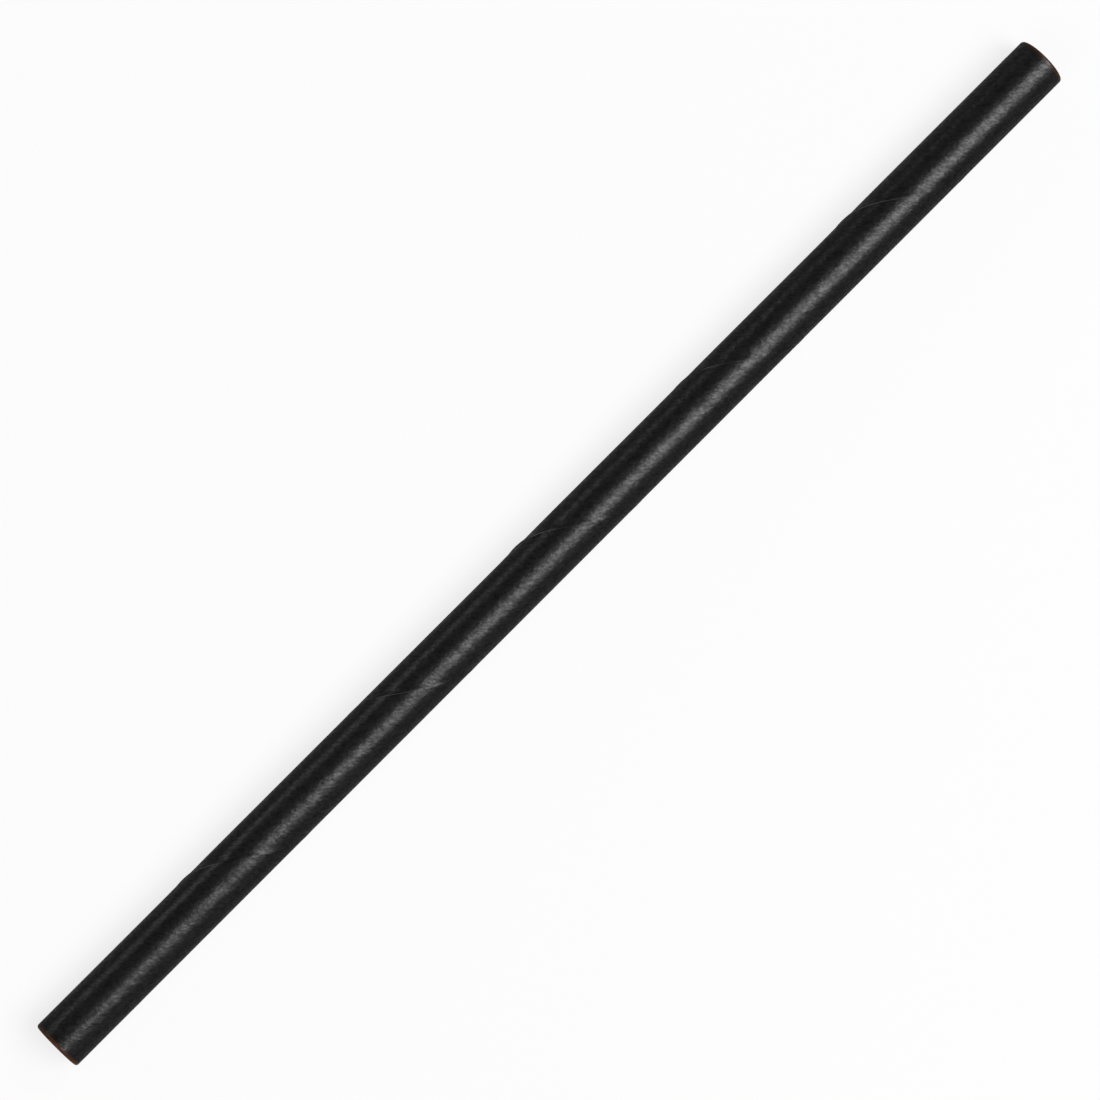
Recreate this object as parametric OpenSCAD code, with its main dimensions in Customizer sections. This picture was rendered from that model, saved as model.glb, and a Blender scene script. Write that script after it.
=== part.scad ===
// Paper drinking straw, lying on its side.
// A narrow strip of paper is wound in a right-hand spiral into one stiff tube. Each turn of the
// strip laps a little way over the turn before it, so a fine raised seam runs round the outside
// from one cut end to the other.
// The straw is very slightly flat along the line that it lies on, and the seam is pressed in there.
// +X runs along the straw, +Z is up. The origin is below the middle, on the surface it lies on.

/* [Tube] */
// Length from cut end to cut end
straw_length = 140; // [90:1:260]
// Outside diameter of the wall, measured clear of the seam
outside_d = 5.6; // [4.5:0.1:12]
// Thickness of the wound wall
wall = 0.4; // [0.3:0.05:0.8]

/* [Winding] */
// How far the strip moves along the straw in one turn
wind_pitch = 23.4; // [16:0.1:40]
// Thickness of the outer ply, which is how far its lapped edge stands up
ply = 0.09; // [0.05:0.01:0.15]
// Width of the flat top of the lap, across the strip
lap_width = 0.15; // [0.1:0.05:1.5]
// Width over which the lap falls back to the wall, across the strip
lap_fall = 0.35; // [0.2:0.05:1.5]
// Where the lapped edge starts at the first end, as an angle round the straw
lap_start = 140; // [0:1:359]

/* [Lying side] */
// How far the wall is pressed flat along the line that it lies on
flat_depth = 0.02; // [0.02:0.01:0.05]

/* [Cut ends] */
// How far along the straw the cutter crushes the rim
rim_length = 0.25; // [0.05:0.05:0.5]
// How far the crushed rim is pressed in
rim_depth = 0.2; // [0.02:0.01:0.25]

/* [Hidden] */

$fn = 96;
slices_per_turn = 36;

r_out = outside_d / 2;
r_bore = r_out - wall;
r_lap = r_out + ply;
// Height of the straw's own line above the surface that it lies on
axis_height = r_out - flat_depth;
// The lap is rooted halfway through the wall, so it is one body with it
r_root = r_out - wall / 2;

// Angle between the seam and the straw's own line
seam_angle = atan2(PI * outside_d, wind_pitch);
// A width across the strip, as an angle round the straw
function round_angle(width) = width / cos(seam_angle) / r_out * 180 / PI;
lap_top = round_angle(lap_width);
lap_foot = round_angle(lap_width + lap_fall);

// Length of straw wound in one step
slice = wind_pitch / slices_per_turn;
// Both ends are wound long and then cut off
spare = 2 * slice;
slices = ceil((straw_length + 2 * spare) / slice);
wound_length = slices * slice;

// Radius of the cutter's cone where it has cleared the lap
r_clear = r_lap + ply;
cone_length = rim_length * (r_clear - r_out + rim_depth) / rim_depth;

// A point in the straw's cross-section
function at(r, angle) = [r * cos(angle), r * sin(angle)];

// The lap is the same section all along, turned as the strip is wound
module wound_lap() {
    turn = 360 / wind_pitch;
    rotate([0, 0, lap_start - turn * spare])
        translate([0, 0, -spare])
            linear_extrude(
                height = wound_length,
                twist = -turn * wound_length,
                slices = slices,
                segments = 5,
                $fn = 0
            )
                polygon([
                    at(r_root, 0),
                    at(r_lap, 0),
                    at(r_lap, -lap_top),
                    at(r_out - ply / 4, -lap_foot),
                    at(r_root, -lap_foot)
                ]);
}

// Everything that the cutter leaves: square ends, with the rims pressed in to a cone
module cut_length() {
    rotate_extrude()
        polygon([
            [0, 0],
            [r_out - rim_depth, 0],
            [r_clear, cone_length],
            [r_clear, straw_length - cone_length],
            [r_out - rim_depth, straw_length],
            [0, straw_length]
        ]);
}

// The wound tube, trimmed to its length and open right through
module open_tube() {
    difference() {
        intersection() {
            union() {
                translate([0, 0, -spare])
                    cylinder(r = r_out, h = wound_length);
                wound_lap();
            }
            cut_length();
        }
        translate([0, 0, -spare])
            cylinder(r = r_bore, h = wound_length);
    }
}

// Everything above the surface that the straw lies on
module above_surface() {
    translate([-straw_length, -outside_d, 0])
        cube([2 * straw_length, 2 * outside_d, 2 * outside_d]);
}

module straw_tube() {
    color([0.12, 0.12, 0.12])
        intersection() {
            translate([-straw_length / 2, 0, axis_height])
                rotate([0, 90, 0])
                    open_tube();
            above_surface();
        }
}

straw_tube();
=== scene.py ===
"""Paper drinking straw, wound in a right-hand spiral from black paper, lying on its side."""

import math

import bpy
from mathutils import Matrix, Vector


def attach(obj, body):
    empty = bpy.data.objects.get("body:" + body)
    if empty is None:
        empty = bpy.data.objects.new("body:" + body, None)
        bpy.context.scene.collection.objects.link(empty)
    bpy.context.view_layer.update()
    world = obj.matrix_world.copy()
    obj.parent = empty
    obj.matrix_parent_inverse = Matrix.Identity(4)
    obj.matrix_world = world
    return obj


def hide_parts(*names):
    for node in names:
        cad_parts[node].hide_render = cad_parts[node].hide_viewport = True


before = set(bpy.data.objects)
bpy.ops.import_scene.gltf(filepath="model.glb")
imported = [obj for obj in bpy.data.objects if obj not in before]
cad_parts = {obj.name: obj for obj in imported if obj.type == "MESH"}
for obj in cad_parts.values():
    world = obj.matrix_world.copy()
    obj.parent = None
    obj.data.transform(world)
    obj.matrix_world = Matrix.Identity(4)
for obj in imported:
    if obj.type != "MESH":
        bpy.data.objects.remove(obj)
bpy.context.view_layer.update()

MM = 0.001

# The straw, in millimetres. It is wound standing up, with its first end at height 0, and then
# laid on its side. It is cut a hair short of 140, so that no rounding carries it past the frame.
LENGTH = 139.998
R_OUT = 2.8
R_BORE = 2.4
PITCH = 23.4
FLAT_DEPTH = 0.02
AXIS_HEIGHT = R_OUT - FLAT_DEPTH
# Where the lapped edge starts at the first end, as an angle round the straw
LAP_START = 140.0

# How far the wall stands off its own radius, by places along the straw from the lapped edge: it
# swells a little before the edge, steps up there onto the flat lap, and falls back behind it,
# past its own radius, before it is level again. The level stretches have points of their own,
# so that no face gets long.
LAP_PROFILE = (
    (-11.7, 0.0), (-9.5, 0.0), (-7.5, 0.0), (-5.5, 0.0), (-4.2, 0.0), (-3.2, 0.001), (-2.5, 0.003),
    (-1.9, 0.007), (-1.4, 0.012), (-0.9, 0.017), (-0.5, 0.020), (-0.2, 0.022), (-0.05, 0.022),
    (-0.02, 0.023), (0.0, 0.080), (0.012, 0.087), (0.05, 0.089), (0.12, 0.090), (0.2, 0.088),
    (0.28, 0.082), (0.36, 0.072), (0.44, 0.058), (0.52, 0.043), (0.6, 0.028), (0.68, 0.014),
    (0.76, 0.002), (0.85, -0.008), (0.95, -0.016), (1.1, -0.022), (1.3, -0.025), (1.6, -0.024),
    (2.0, -0.019), (2.5, -0.012), (3.2, -0.006), (4.2, -0.002), (5.5, 0.0), (7.5, 0.0), (9.5, 0.0),
    (11.7, 0.0),
)
# How much of that height is left as the strip goes round, by turns from the first end: the lap is
# pressed in along one side of the straw and stands free along the other, at some turns more than
# at others
LAP_STANDS = (
    (-1.0, 0.2), (-0.13, 0.3), (0.12, 0.08), (0.37, 0.1), (0.62, 0.3), (0.87, 0.7), (1.12, 0.45),
    (1.37, 0.2), (1.62, 0.3), (1.87, 0.12), (1.95, 0.4), (2.12, 0.6), (2.37, 0.15), (2.62, 0.5),
    (2.87, 1.0), (3.12, 0.4), (3.37, 0.2), (3.62, 0.4), (3.87, 0.5), (4.12, 0.4), (4.37, 0.2),
    (4.62, 0.5), (4.87, 0.8), (5.12, 0.35), (5.37, 0.2), (5.62, 0.2), (5.87, 0.1), (6.5, 0.2),
    (8.0, 0.3),
)
# Turns that are wound before both ends are cut, and the steps in each
WOUND_TURNS = 8
STEPS_PER_TURN = 144
# How the cutter crushed each rim: how far along the straw, and how deep
FIRST_RIM = (0.30, 0.28)
LAST_RIM = (0.22, 0.18)
# Steps in the curve of each rim
RIM_STEPS = 6
# How far each mouth's inner corner is eased, and the number of stretches in the bore's wall
MOUTH_EASE = 0.04
BORE_STRETCHES = 14
# Edges flatter than this are shaded smooth, in degrees
SMOOTH_ANGLE = 32
# Vertices closer than the first are joined, and a cut passes through those closer than the second
JOIN_WITHIN = 0.002
CUT_WITHIN = 0.0001


# Modelling helpers


def deselect_all():
    """Leaves no object selected, because an operator acts on all that are."""
    if bpy.context.object and bpy.context.object.mode != "OBJECT":
        bpy.ops.object.mode_set(mode="OBJECT")
    bpy.ops.object.select_all(action="DESELECT")


def edit(obj):
    """Opens an object's mesh for editing, with nothing in it selected."""
    deselect_all()
    obj.select_set(True)
    bpy.context.view_layer.objects.active = obj
    bpy.ops.object.mode_set(mode="EDIT")
    bpy.ops.mesh.select_all(action="DESELECT")


def select_vertices(obj, wanted):
    """Selects the vertices of the edited mesh for which wanted(place) is true."""
    bpy.ops.mesh.select_mode(type="VERT")
    bpy.ops.mesh.select_all(action="DESELECT")
    bpy.ops.object.mode_set(mode="OBJECT")
    for vertex in obj.data.vertices:
        vertex.select = wanted(vertex.co)
    bpy.ops.object.mode_set(mode="EDIT")


def open_places(obj):
    """Gives the places of the vertices along the edited mesh's open edges."""
    bpy.ops.mesh.select_mode(type="VERT")
    bpy.ops.mesh.select_all(action="DESELECT")
    bpy.ops.mesh.select_non_manifold(
        use_wire=False, use_boundary=True, use_multi_face=False, use_non_contiguous=False,
        use_verts=False,
    )
    bpy.ops.object.mode_set(mode="OBJECT")
    places = {tuple(vertex.co) for vertex in obj.data.vertices if vertex.select}
    bpy.ops.object.mode_set(mode="EDIT")
    return places


def read_table(table, at):
    """Reads a table of (place, value) pairs at a place between two of them."""
    for (a, u), (b, v) in zip(table, table[1:]):
        if at <= b:
            t = min(max((at - a) / (b - a), 0.0), 1.0)
            return u + (v - u) * t * t * (3 - 2 * t)
    return table[-1][1]


def quarter_turn(steps):
    """Gives the cosine and sine of each step round a quarter of a circle."""
    angles = [math.radians(90) * step / steps for step in range(1, steps + 1)]
    return [(math.cos(a), math.sin(a)) for a in angles]


def extrude_rings(rings):
    """Carries the selected ring of edges on from the first (radius, height) through the others."""
    r, z = rings[0]
    for next_r, next_z in rings[1:]:
        move = {"value": (0, 0, next_z - z)}
        bpy.ops.mesh.extrude_edges_move(TRANSFORM_OT_translate=move)
        bpy.ops.transform.resize(
            value=(next_r / r, next_r / r, 1), center_override=(0, 0, next_z)
        )
        r, z = next_r, next_z


def apply_modifier(obj, kind, **settings):
    modifier = obj.modifiers.new(kind.lower(), kind)
    for name, value in settings.items():
        setattr(modifier, name, value)
    bpy.ops.object.modifier_apply(modifier=modifier.name)


# The straw


def draw_strip_section():
    """Draws one turn's width of the strip, vertex by vertex, on the +X side of the winding axis."""
    deselect_all()
    bpy.ops.mesh.primitive_plane_add(size=MM)
    straw = bpy.context.object
    straw.name = straw.data.name = "wound_straw"
    bpy.ops.object.mode_set(mode="EDIT")
    bpy.ops.mesh.merge(type="CENTER")
    # On this side the lapped edge starts more than a turn below the first end
    first_edge = -(LAP_START / 360 + 1) * PITCH
    places = [((R_OUT + h) * MM, (first_edge + z) * MM) for z, h in LAP_PROFILE]
    r, z = places[0]
    bpy.ops.transform.translate(value=(r, 0, z))
    for next_r, next_z in places[1:]:
        move = {"value": (next_r - r, 0, next_z - z)}
        bpy.ops.mesh.extrude_vertices_move(TRANSFORM_OT_translate=move)
        r, z = next_r, next_z
    bpy.ops.object.mode_set(mode="OBJECT")
    return straw


def wind(straw):
    """Winds the strip's section into the tube, with each turn joined to the last."""
    apply_modifier(
        straw, "SCREW", axis="Z", angle=math.tau, screw_offset=PITCH * MM,
        iterations=WOUND_TURNS, steps=STEPS_PER_TURN, render_steps=STEPS_PER_TURN,
    )
    edit(straw)
    bpy.ops.mesh.select_all(action="SELECT")
    bpy.ops.mesh.remove_doubles(threshold=JOIN_WITHIN * MM)
    bpy.ops.object.mode_set(mode="OBJECT")


def press_lap(straw):
    """Presses the lap in towards a true cylinder, by a different amount at each turn."""
    pressed = straw.vertex_groups.new(name="pressed")
    for vertex in straw.data.vertices:
        x, y, z = vertex.co / MM
        turn = (math.degrees(math.atan2(y, x)) - LAP_START) / 360
        turn += round(z / PITCH - turn)
        pressed.add([vertex.index], 1 - read_table(LAP_STANDS, turn), "REPLACE")
    apply_modifier(
        straw, "CAST", cast_type="CYLINDER", use_z=False, use_radius_as_size=False, factor=1,
        size=R_OUT * MM, vertex_group=pressed.name,
    )
    straw.vertex_groups.clear()


def cut_end(straw, z, outward, crushed):
    """Cuts the tube square at height z, rounds the crushed rim and turns the cut face inwards."""
    length, depth = crushed
    start = z - outward * length
    edit(straw)
    bpy.ops.mesh.select_all(action="SELECT")
    bpy.ops.mesh.bisect(
        plane_co=(0, 0, start * MM), plane_no=(0, 0, outward), clear_outer=True,
        threshold=CUT_WITHIN * MM,
    )
    bpy.ops.mesh.select_mode(type="EDGE")
    rings = [(R_OUT, start)]
    for cosine, sine in quarter_turn(RIM_STEPS):
        rings.append((R_OUT - depth * (1 - cosine), start + outward * length * sine))
    rings.append((R_BORE + MOUTH_EASE, z))
    extrude_rings([(r * MM, height * MM) for r, height in rings])
    bpy.ops.object.mode_set(mode="OBJECT")


def line_bore(straw):
    """Adds the tube's inside wall and joins it to both cut faces."""
    deselect_all()
    bpy.ops.mesh.primitive_cylinder_add(
        vertices=STEPS_PER_TURN, radius=R_BORE * MM, depth=(LENGTH - 2 * MOUTH_EASE) * MM,
        end_fill_type="NOTHING", location=(0, 0, LENGTH / 2 * MM),
    )
    bore = bpy.context.object
    bpy.ops.object.transform_apply(location=True, rotation=True, scale=True)
    bpy.ops.object.mode_set(mode="EDIT")
    for cut in range(1, BORE_STRETCHES):
        bpy.ops.mesh.select_all(action="SELECT")
        bpy.ops.mesh.bisect(
            plane_co=(0, 0, LENGTH * cut / BORE_STRETCHES * MM), plane_no=(0, 0, 1),
            threshold=CUT_WITHIN * MM,
        )
    deselect_all()
    bore.select_set(True)
    straw.select_set(True)
    bpy.context.view_layer.objects.active = straw
    bpy.ops.object.join()
    edit(straw)
    mouths = open_places(straw)
    middle = LENGTH / 2 * MM
    for first_end in (True, False):
        select_vertices(straw, lambda p: tuple(p) in mouths and (p.z < middle) == first_end)
        bpy.ops.mesh.select_mode(type="EDGE")
        bpy.ops.mesh.bridge_edge_loops()
    bpy.ops.mesh.select_all(action="SELECT")
    bpy.ops.mesh.normals_make_consistent(inside=False)
    bpy.ops.object.mode_set(mode="OBJECT")


def lay_down(straw):
    """Lays the straw on its side, with its middle over the origin, and presses its flat."""
    deselect_all()
    straw.select_set(True)
    bpy.context.view_layer.objects.active = straw
    straw.rotation_euler = (0, math.radians(90), 0)
    straw.location = (-LENGTH / 2 * MM, 0, AXIS_HEIGHT * MM)
    bpy.ops.object.transform_apply(location=True, rotation=True, scale=True)
    edit(straw)
    select_vertices(straw, lambda p: p.z < 0)
    bpy.ops.transform.resize(value=(1, 1, 0), center_override=(0, 0, 0))
    bpy.ops.object.mode_set(mode="OBJECT")
    bpy.ops.object.shade_smooth_by_angle(angle=math.radians(SMOOTH_ANGLE))


def make_straw():
    straw = draw_strip_section()
    wind(straw)
    press_lap(straw)
    cut_end(straw, 0.0, -1, FIRST_RIM)
    cut_end(straw, LENGTH, 1, LAST_RIM)
    line_bore(straw)
    lay_down(straw)
    straw.data.materials.append(black_paper())
    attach(straw, "root")
    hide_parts("straw_tube")


# Materials


class Value:
    """A number that a node gives, which can be used in Python sums."""

    def __init__(self, sheet, socket):
        self.sheet = sheet
        self.socket = socket

    def maths(self, operation, *others):
        return self.sheet.maths(operation, self, *others)

    def __add__(self, other):
        return self.maths("ADD", other)

    __radd__ = __add__

    def __mul__(self, other):
        return self.maths("MULTIPLY", other)

    __rmul__ = __mul__

    def __sub__(self, other):
        return self.maths("SUBTRACT", other)

    def __rsub__(self, other):
        return self.sheet.maths("SUBTRACT", other, self)

    def __truediv__(self, other):
        return self.maths("DIVIDE", other)

    def __rtruediv__(self, other):
        return self.sheet.maths("DIVIDE", other, self)

    def __abs__(self):
        return self.maths("ABSOLUTE")


class Sheet:
    """The node tree of one material."""

    def __init__(self, material):
        material.use_nodes = True
        self.tree = material.node_tree
        self.tree.nodes.clear()

    def node(self, kind, settings=None, inputs=(), out=0):
        """Adds a node: its settings are set first, then its sockets get values or links."""
        node = self.tree.nodes.new(kind)
        for name, value in (settings or {}).items():
            setattr(node, name, value)
        pairs = inputs.items() if isinstance(inputs, dict) else enumerate(inputs)
        for name, value in pairs:
            if isinstance(value, Value):
                self.tree.links.new(value.socket, node.inputs[name])
            else:
                node.inputs[name].default_value = value
        return Value(self, node.outputs[out])

    def outputs(self, kind, inputs=()):
        """Adds a node and gives all its outputs, by name."""
        node = self.node(kind, {}, inputs).socket.node
        return {socket.name: Value(self, socket) for socket in node.outputs}

    def maths(self, operation, *values):
        return self.node("ShaderNodeMath", {"operation": operation}, values)

    def noise(self, coordinates, grains, detail=2.0, roughness=0.5):
        return self.node(
            "ShaderNodeTexNoise", {"noise_dimensions": "3D"},
            {"Vector": coordinates, "Scale": grains, "Detail": detail, "Roughness": roughness},
        )

    def smooth_step(self, value, low, high):
        """Goes from 0 to 1 as value goes from low to high."""
        return self.node(
            "ShaderNodeMapRange", {"interpolation_type": "SMOOTHSTEP"},
            {"Value": value, "From Min": low, "From Max": high},
        )

    def mix(self, share, first, second):
        """Mixes two colours. The node's sockets share their names, so they go by number."""
        return self.node(
            "ShaderNodeMix", {"data_type": "RGBA"}, {0: share, 6: first, 7: second}, out=2
        )

    def finish(self, surface):
        out = self.tree.nodes.new("ShaderNodeOutputMaterial")
        self.tree.links.new(surface.socket, out.inputs["Surface"])


# Paper colours, as linear light
BLACK_INK = (0.0028, 0.0026, 0.0026, 1)
WORN_INK = (0.0074, 0.0071, 0.0070, 1)
RAW_PAPER = (0.058, 0.019, 0.006, 1)
# The pale lapped edge: partly the raw edge's own colour, partly a painted highlight where it catches
# the light
LAP_EDGE_AND_HIGHLIGHT = (0.095, 0.089, 0.084, 1)

# The paper's sheen where it is whole, and the bare surface where it is lost
GLOSSY = {"Roughness": 0.355, "Specular IOR Level": 0.36, "IOR": 1.5}
MATT = {"Roughness": 0.9, "Specular IOR Level": 0.0}
# Share of the gloss that is lost in the dull blotches, between the paper's fibres, and at a
# grazing view
BLOTCH_LOSS = 0.34
FIBRE_LOSS = 0.42
GRAZING_LOSS = 0.66
# Where the grazing loss starts and where it is whole, as Layer Weight tells how a face is turned
GRAZING = (0.16, 0.32)

# The blotches and the fibres: their grains to the metre, and the noise levels between which they
# fade in. Both are drawn out a little along the straw.
BLOTCH_GRAINS = 900.0
BLOTCH_LEVELS = (0.44, 0.56)
FIBRE_GRAINS = 3200.0
FIBRE_LEVELS = (0.38, 0.62)
DRAWN_OUT = 0.9
# The paper's own unevenness, with its depth in millimetres
RELIEF_GRAINS = 1250.0
RELIEF_DEPTH = 0.055

# The pale line on the lapped edge, partly the raw edge's own colour and partly a painted highlight
# where the standing edge catches the light, in millimetres: how far round from the edge its middle
# is, how it fades out to each side, and how far the paper has to stand up for it to show
LINE_MIDDLE = 0.0075
LINE_FADE = (0.009, 0.016)
LINE_STANDS = (0.005, 0.02)
# The line is broken by a coarser noise
BREAK_GRAINS = 380.0
BREAK_LEVELS = (0.38, 0.58)

# The brown at the cut ends: how it fades with the distance from the end in millimetres, how far
# the blotches push that about, and how strong it is at the first end and at the last
SCUFF_FADE = (0.15, 0.60)
SCUFF_UNEVEN = 0.1
SCUFF_FIRST = 0.97
SCUFF_LAST = 0.55


def black_paper():
    """Black straw paper: a faint sheen broken by blotches that run along the strip, with a pale
    line on the lapped edge, partly its own colour and partly a painted highlight where it catches
    the light, and a brown tinge where the straw was cut."""
    material = bpy.data.materials.new("black_paper")
    sheet = Sheet(material)
    place = sheet.outputs("ShaderNodeTexCoord")["Object"]
    centred = sheet.node(
        "ShaderNodeMapping", {}, {"Vector": place, "Location": (0, 0, -AXIS_HEIGHT * MM)}
    )
    x, y, z = sheet.outputs("ShaderNodeSeparateXYZ", [centred]).values()

    # The winding is undone, so that the strip runs straight and the seam is a straight line
    radius = (y * y + z * z).maths("SQRT")
    unwound = z.maths("ARCTAN2", y) - x * (math.tau / (PITCH * MM))
    strip = sheet.node(
        "ShaderNodeCombineXYZ", {},
        [x * DRAWN_OUT, radius * unwound.maths("COSINE"), radius * unwound.maths("SINE")],
    )

    # Dull and glossy blotches in the ink, the paper's fibres, and its unevenness
    blotches = sheet.noise(strip, BLOTCH_GRAINS, detail=4.0, roughness=0.9)
    blotches = sheet.smooth_step(blotches, *BLOTCH_LEVELS)
    fibres = sheet.noise(strip, FIBRE_GRAINS, detail=1.0)
    fibres = sheet.smooth_step(fibres, *FIBRE_LEVELS)
    relief = sheet.noise(centred, RELIEF_GRAINS, detail=3.0, roughness=0.55)
    uneven = sheet.node(
        "ShaderNodeBump", {}, {"Height": relief, "Strength": 1.0, "Distance": RELIEF_DEPTH * MM}
    )

    # The strip's own cut edge, which stands up where it laps over the turn below, is painted pale:
    # partly its own colour, partly a painted highlight where it catches the light. Laying the straw
    # down has turned it by a quarter, and x is counted from its middle.
    edge_angle = math.radians(LAP_START - 90 + 360 * (LENGTH / 2) / PITCH)
    off_edge = unwound - edge_angle
    off_edge = off_edge.maths("SINE").maths("ARCTAN2", off_edge.maths("COSINE"))
    off_line = abs(off_edge * R_OUT - LINE_MIDDLE)
    stands = sheet.smooth_step(radius / MM - R_OUT, *LINE_STANDS)
    broken = sheet.smooth_step(sheet.noise(centred, BREAK_GRAINS), *BREAK_LEVELS)
    lap_edge_and_highlight = (1 - sheet.smooth_step(off_line, *LINE_FADE)) * stands * broken

    # Where the cutter scuffed the paper, its own brown shows, more so at the first end
    to_end = LENGTH / 2 - abs(x) / MM + blotches * SCUFF_UNEVEN
    strength = (SCUFF_FIRST + SCUFF_LAST) / 2 - x * ((SCUFF_FIRST - SCUFF_LAST) / (LENGTH * MM))
    scuffed = (1 - sheet.smooth_step(to_end, *SCUFF_FADE)) * strength

    ink = sheet.mix(blotches, BLACK_INK, WORN_INK)
    # Mixes in the pale edge line, partly its own colour and partly a painted highlight
    ink_and_edge_highlight = sheet.mix(lap_edge_and_highlight, ink, LAP_EDGE_AND_HIGHLIGHT)
    colour = sheet.mix(scuffed, ink_and_edge_highlight, RAW_PAPER)

    facing = sheet.outputs("ShaderNodeLayerWeight", {"Blend": 0.5})["Facing"]
    grazing = sheet.smooth_step(facing, *GRAZING)
    gloss = (1 - blotches * BLOTCH_LOSS) * (1 - fibres * FIBRE_LOSS)
    gloss = gloss * (1 - grazing * GRAZING_LOSS)
    glossy, matt = (
        sheet.node("ShaderNodeBsdfPrincipled", {}, {"Base Color": colour, "Normal": uneven, **kind})
        for kind in (GLOSSY, MATT)
    )
    # The glossy side comes first, because the exported model keeps the first of the two
    sheet.finish(sheet.node("ShaderNodeMixShader", {}, [1 - gloss, glossy, matt]))
    return material


# The stage, the lights and the camera

# The floor is round, and its edge curves up into a low wall, so that the straw has white behind it
# from every side; all in metres. A narrow flat ring keeps the curve's smooth shading off the floor.
FLOOR_RADIUS = 1.5
FLOOR_SIDES = 96
FLAT_RING = 0.01
COVE_RADIUS = 0.15
COVE_STEPS = 12
WALL_HEIGHT = 0.28
FLOOR_COLOUR = (0.70, 0.70, 0.70, 1)
WHITE = (1, 1, 1, 1)
# Share of plain white in the floor as it is seen or mirrored, whatever light falls on it
FLOOR_WHITE = 0.8


def white_floor():
    material = bpy.data.materials.new("white_floor")
    sheet = Sheet(material)
    rays = sheet.outputs("ShaderNodeLightPath")
    seen = rays["Is Camera Ray"].maths("MAXIMUM", rays["Is Glossy Ray"])
    seen = seen.maths("MAXIMUM", rays["Is Transmission Ray"])
    lit = sheet.node("ShaderNodeBsdfDiffuse", {}, {"Color": FLOOR_COLOUR})
    white = sheet.node("ShaderNodeEmission", {}, {"Color": WHITE, "Strength": 1.0})
    sheet.finish(sheet.node("ShaderNodeMixShader", {}, [seen * FLOOR_WHITE, lit, white]))
    return material


def make_floor():
    deselect_all()
    bpy.ops.mesh.primitive_circle_add(
        vertices=FLOOR_SIDES, radius=FLOOR_RADIUS, fill_type="NGON"
    )
    floor = bpy.context.object
    floor.name = "floor"
    edit(floor)
    bpy.ops.mesh.select_mode(type="EDGE")
    bpy.ops.mesh.select_all(action="SELECT")
    flat = FLOOR_RADIUS + FLAT_RING
    rings = [(FLOOR_RADIUS, 0), (flat, 0)]
    for cosine, sine in quarter_turn(COVE_STEPS):
        rings.append((flat + COVE_RADIUS * sine, COVE_RADIUS * (1 - cosine)))
    rings.append((flat + COVE_RADIUS, WALL_HEIGHT))
    extrude_rings(rings)
    bpy.ops.object.mode_set(mode="OBJECT")
    bpy.ops.object.shade_smooth()
    floor.data.materials.append(white_floor())


MIDDLE = Vector((0, 0, AXIS_HEIGHT * MM))
# What the camera looks at, its distance in metres, how far it leans towards the straw's near
# end, its lens in millimetres, and how near and far it sees in metres
AIM = Vector((-0.567 * MM, 0.19 * MM, AXIS_HEIGHT * MM))
CAMERA_DISTANCE = 0.490
CAMERA_LEAN = math.radians(5.2)
LENS = 160.25
NEAR, FAR = 0.01, 10.0


def across_view(lean):
    """The camera's own axes: right, up and back, for a straw that runs up the picture's diagonal."""
    far = Vector((math.cos(lean), 0, math.sin(lean)))
    side = Vector((0, 1, 0))
    back = Vector((-math.sin(lean), 0, math.cos(lean)))
    return (far - side).normalized(), (far + side).normalized(), back


def make_camera():
    right, up, back = across_view(CAMERA_LEAN)
    data = bpy.data.cameras.new("camera")
    data.lens = LENS
    data.clip_start = NEAR
    data.clip_end = FAR
    camera = bpy.data.objects.new("camera", data)
    bpy.context.collection.objects.link(camera)
    basis = Matrix((right, up, back)).transposed().to_4x4()
    basis.translation = AIM + back * CAMERA_DISTANCE
    camera.matrix_world = basis
    bpy.context.scene.camera = camera


WORLD_LIGHT = 0.08
LAMP_DISTANCE = 1.2
# Each lamp: its direction from the straw, across it and along it, in degrees off straight up,
# its width and height in metres as it faces the straw, and its power in watts. The main lamp
# makes the broad highlight, the side lamp the faint one beside it, and the other two show the
# straw's roundness to someone who looks at it from past an end.
LAMPS = {
    "main": (-27.5, 13.5, (0.73, 0.73), 17.4),
    "side": (68.0, -1.0, (0.30, 0.36), 1.15),
    "far": (0.0, 42.0, (0.50, 0.25), 2.2),
    "near": (0.0, -42.0, (0.50, 0.25), 2.2),
}


def add_softbox(name, towards, size, power):
    """Adds a flat lamp that faces the straw's middle from the given direction."""
    data = bpy.data.lights.new(name, "AREA")
    data.shape = "RECTANGLE"
    data.size, data.size_y = size
    data.energy = power
    lamp = bpy.data.objects.new(name, data)
    bpy.context.collection.objects.link(lamp)
    lamp.location = MIDDLE + towards * LAMP_DISTANCE
    lamp.rotation_euler = towards.to_track_quat("Z", "Y").to_euler()


def make_lights():
    world = bpy.data.worlds.new("studio")
    bpy.context.scene.world = world
    world.use_nodes = True
    background = world.node_tree.nodes["Background"]
    background.inputs["Color"].default_value = WHITE
    background.inputs["Strength"].default_value = WORLD_LIGHT
    for name, (across, along, size, power) in LAMPS.items():
        side, far = math.radians(across), math.radians(along)
        towards = Vector(
            (math.sin(far), math.sin(side) * math.cos(far), math.cos(side) * math.cos(far))
        )
        add_softbox(name, towards, size, power)


make_straw()
make_floor()
make_camera()
make_lights()

bpy.context.scene.view_settings.view_transform = "Standard"
